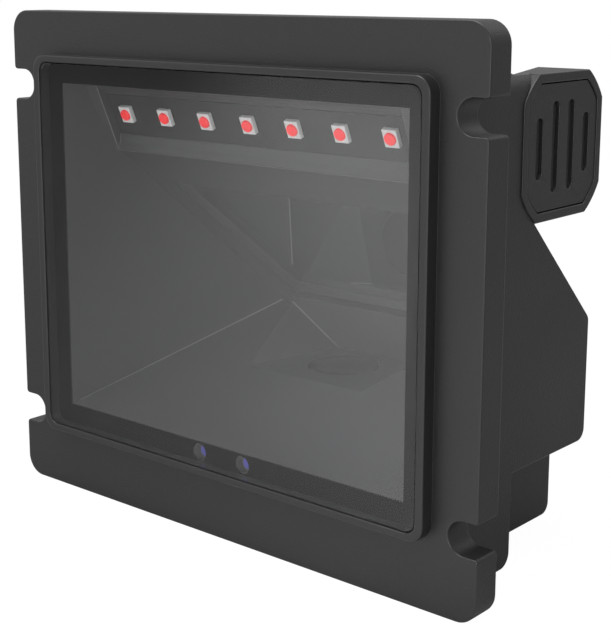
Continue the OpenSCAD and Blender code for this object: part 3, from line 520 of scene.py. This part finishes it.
bpy.ops.mesh.bevel(offset=crown_radius, segments=4, affect="EDGES")
bpy.ops.object.mode_set(mode="OBJECT")
bpy.ops.object.shade_smooth_by_angle(angle=math.radians(40))
bpy.ops.object.transform_apply(location=True, rotation=True, scale=True)
dome.data.materials.append(led_red)
domes = {1: dome}
for number, shift in led_shifts.items():
    domes[number] = moved_copy(dome, f"led_dome_{number}", shift)
for number, cast in domes.items():
    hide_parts(f"led_lens_{number}")
    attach(cast, "root")

# Presence sensors: an infrared emitter and receiver cast in violet epoxy and soldered to a board
# behind the frame. Their domes reach through the frame's two holes to just behind the border.
sensor_violet = moulded_plastic(
    "sensor_violet", (0.045, 0.04, 0.42), grain=0.0005, depth=0.000002, roughness=0.5, shine=0.2)
dome_depth = 0.0016
dome_front = 0.0009
for name in ("ir_emitter", "ir_receiver"):
    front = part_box(name)[0].y
    lens = merged_copy(name, f"{name}_lens", (sensor_violet,))
    select_where(lens, "VERT", lambda vert: vert.co.y < front + dome_depth)
    bpy.ops.transform.translate(value=(0, dome_front - front, 0))
    shade_radii(lens)


# Rear housing: the body shell with its wedge, lower box and speaker pod in one moulding, from the
# same black plastic and grain as the front frame, and screwed to that frame from behind.
# Only corners that can be seen or touched are rounded; inner ones and those at the flange are not.
def looks_out(edge, walls, lift=0.00002):
    """True where no wall of the piece itself stands in front of an edge."""
    out = (edge.link_faces[0].normal + edge.link_faces[1].normal).normalized()
    return walls.ray_cast(edge_middle(edge) + out * lift, out)[0] is None


housing_radius = 0.00025
flange_back = 0.0062
housing = whole_faced_copy("rear_housing", "housing_shell", (shell_black, edge_polish_and_painted_highlight))
select_where(housing, "FACE", lambda face: face.normal.y < -0.9)
bpy.ops.mesh.quads_convert_to_tris()
housing_walls = BVHTree.FromBMesh(bmesh.from_edit_mesh(housing.data))
round_edges(
    housing,
    lambda edge: (
        fold(edge) >= sharp_corner and edge.calc_length() >= housing_radius
        and edge_middle(edge).y >= flange_back and looks_out(edge, housing_walls)),
    housing_radius)
shade_radii(housing)

# Speaker grille: a plate with four upright slots, moulded in the housing's plastic and pressed
# into the pod's recess. The edges at its back, inside the pod, stay sharp.
plate_back = 0.0463
grille = softened_copy(
    "speaker_grille", "grille_plate", (shell_black, edge_polish_and_painted_highlight), radius=0.00018,
    wanted=lambda edge: sharp(edge) and edge_middle(edge).x >= plate_back)

# Acoustic screen: a thin disc of porous black plastic in the speaker's foam ring. Four bars moulded
# on it stand in the grille's slots, so that no dust can gather deep in them.
# The pores are the spaces between sintered beads, and let the sound through.
screen_black = moulded_plastic(
    "screen_black", (0.022, 0.022, 0.0225), grain=0.0004, depth=0.0004, roughness=0.7, shine=0.3)
slot_pitch = 0.0053
slot_width = 0.0021
short_slot, long_slot = 0.0107, 0.016
open_depth = 0.0008
disc_thickness = 0.0002
disc_sink = 0.00005
bar_sink = 0.0001
low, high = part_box("speaker_gasket")
speaker_y, speaker_z = (low.y + high.y) / 2, (low.z + high.z) / 2
disc_middle = high.x - disc_sink - disc_thickness / 2
bar_foot = high.x - bar_sink
bar_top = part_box("speaker_grille")[1].x - open_depth
bpy.ops.object.select_all(action="DESELECT")
bpy.ops.mesh.primitive_cylinder_add(
    vertices=64, radius=0.0088, depth=disc_thickness,
    location=(disc_middle, speaker_y, speaker_z), rotation=(0, math.pi / 2, 0))
screen = bpy.context.object
screen.name = "acoustic_screen"
for pitches, length in ((-1.5, short_slot), (-0.5, long_slot), (0.5, long_slot), (1.5, short_slot)):
    bpy.ops.object.select_all(action="DESELECT")
    bpy.ops.mesh.primitive_cylinder_add(
        vertices=32, radius=0.00102, depth=bar_top - bar_foot,
        location=((bar_top + bar_foot) / 2, speaker_y + pitches * slot_pitch, speaker_z),
        rotation=(0, math.pi / 2, 0))
    bar = bpy.context.object
    bpy.ops.object.transform_apply(location=True, rotation=True, scale=True)
    bpy.ops.object.mode_set(mode="EDIT")
    stretch = (length - slot_width) / 2
    select_where(bar, "VERT", lambda vert: vert.co.z >= speaker_z)
    bpy.ops.transform.translate(value=(0, 0, stretch))
    select_where(bar, "VERT", lambda vert: vert.co.z < speaker_z)
    bpy.ops.transform.translate(value=(0, 0, -stretch))
    bpy.ops.object.mode_set(mode="OBJECT")
    screen.select_set(True)
    bpy.context.view_layer.objects.active = screen
    bpy.ops.object.join()
bpy.ops.object.transform_apply(location=True, rotation=True, scale=True)
bpy.ops.object.shade_smooth_by_angle(angle=math.radians(30))
screen.data.materials.append(screen_black)
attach(screen, "root")

# Camera filter: a disc of near-black glass that closes the opening in the chamber's floor.
# It is let in flush and glued round its ground edge; its black is painted shade for the camera
# well.
filter_painted_shade = moulded_plastic(
    "filter_painted_shade", (0.0015, 0.0012, 0.0013), grain=0.002, depth=0.0, roughness=0.25, shine=0.06)
opening_radius = 0.0074
opening_y, chamber_floor = 0.0365, -0.02262
glue_gap = 0.00004
filter_thickness = 0.0011
filter_sink = 0.00005
ground_rim = 0.00006
bpy.ops.object.select_all(action="DESELECT")
bpy.ops.mesh.primitive_cylinder_add(
    vertices=96, radius=opening_radius - glue_gap, depth=filter_thickness,
    location=(0, opening_y, chamber_floor - filter_sink - filter_thickness / 2))
camera_filter = bpy.context.object
camera_filter.name = "camera_filter"
bpy.ops.object.transform_apply(location=True, rotation=True, scale=True)
bpy.ops.object.mode_set(mode="EDIT")
select_where(camera_filter, "FACE", lambda face: abs(face.normal.z) > 0.9)
bpy.ops.mesh.bevel(offset=ground_rim, segments=2, affect="EDGES")
bpy.ops.object.mode_set(mode="OBJECT")
bpy.ops.object.shade_smooth_by_angle(angle=math.radians(30))
camera_filter.data.materials.append(filter_painted_shade)
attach(camera_filter, "root")

# Camera under the filter: a black moulded holder and a threaded barrel with one glass lens, over
# the image sensor on its own small board. The lens is coated, so it hardly shines.
camera_black = moulded_plastic(
    "camera_black", (0.006, 0.006, 0.007), grain=0.0003, depth=0.00001, roughness=0.8, shine=0.1)
dress(("lens_holder", "lens_barrel"), camera_black)
lens_glass = moulded_plastic(
    "lens_glass", (0.003, 0.003, 0.006), grain=0.001, depth=0.0, roughness=0.1, shine=0.06)
dress(("camera_lens",), lens_glass)
chip_black = moulded_plastic(
    "chip_black", (0.014, 0.014, 0.015), grain=0.0002, depth=0.00001, roughness=0.55)
dress(("image_sensor",), chip_black)


# Boards: glass-fibre laminate with a green lacquer, under which the copper tracks show as paler
# lines. The decoder's two chips, cast in black epoxy, are soldered to their board.
def lacquered_board(name, colour, track_colour):
    """Printed board: lacquer over copper tracks a third of a millimetre wide."""
    made, tree, skin = new_finish(name)
    skin.inputs["Roughness"].default_value = 0.35
    place = tree.nodes.new("ShaderNodeTexCoord")
    tracks = tree.nodes.new("ShaderNodeTexBrick")
    tracks.inputs["Color1"].default_value = (*colour, 1)
    tracks.inputs["Color2"].default_value = (*[part * 0.85 for part in colour], 1)
    tracks.inputs["Mortar"].default_value = (*track_colour, 1)
    tracks.inputs["Scale"].default_value = 160.0
    tracks.inputs["Mortar Size"].default_value = 0.05
    relief = tree.nodes.new("ShaderNodeBump")
    relief.inputs["Strength"].default_value = 0.3
    relief.inputs["Distance"].default_value = 0.00003
    tree.links.new(place.outputs["Object"], tracks.inputs["Vector"])
    tree.links.new(tracks.outputs["Color"], skin.inputs["Base Color"])
    tree.links.new(tracks.outputs["Fac"], relief.inputs["Height"])
    tree.links.new(relief.outputs["Normal"], skin.inputs["Normal"])
    return made


board_green = lacquered_board("board_green", (0.012, 0.085, 0.035), (0.03, 0.17, 0.06))
dress(("sensor_board", "camera_board", "decoder_board", "interface_board"), board_green)
dress(("decoder_chip", "memory_chip"), chip_black)

# Data socket in the lower box: a black moulded shell round a row of gold-plated spring contacts.
# Both are soldered to the interface board.
socket_black = moulded_plastic(
    "socket_black", (0.016, 0.016, 0.017), grain=0.0004, depth=0.00001, roughness=0.4)
contact_gold = bright_metal(
    "contact_gold", (0.83, 0.60, 0.24), roughness=0.25, spread=0.08, grain=0.001)
socket_shell = softened_copy("data_socket", "socket_shell", (socket_black,), radius=0.0002)
dress(("socket_contacts",), contact_gold)

# Speaker: a pressed basket and a magnet of plated steel, with a cone of pressed paper glued in.
# A ring of black foam seals it behind the grille.
plated_steel = bright_metal(
    "plated_steel", (0.62, 0.62, 0.60), roughness=0.34, spread=0.1, grain=0.0015)
cone_paper = moulded_plastic(
    "cone_paper", (0.03, 0.028, 0.026), grain=0.0008, depth=0.00008, roughness=0.9, shine=0.2)
seal_foam = moulded_plastic(
    "seal_foam", (0.02, 0.02, 0.021), grain=0.0012, depth=0.0003, roughness=0.95, shine=0.2)
dress(("speaker_frame", "speaker_magnet"), plated_steel)
dress(("speaker_cone",), cone_paper)
dress(("speaker_gasket",), seal_foam)

# Screws: zinc-plated steel with cold-formed heads and rolled threads.
# One group each holds the housing, the chamber, the camera and two of the boards.
dress(("housing_screws", "chamber_screws", "camera_screws"), plated_steel)
dress(("decoder_screws", "interface_screws"), plated_steel)
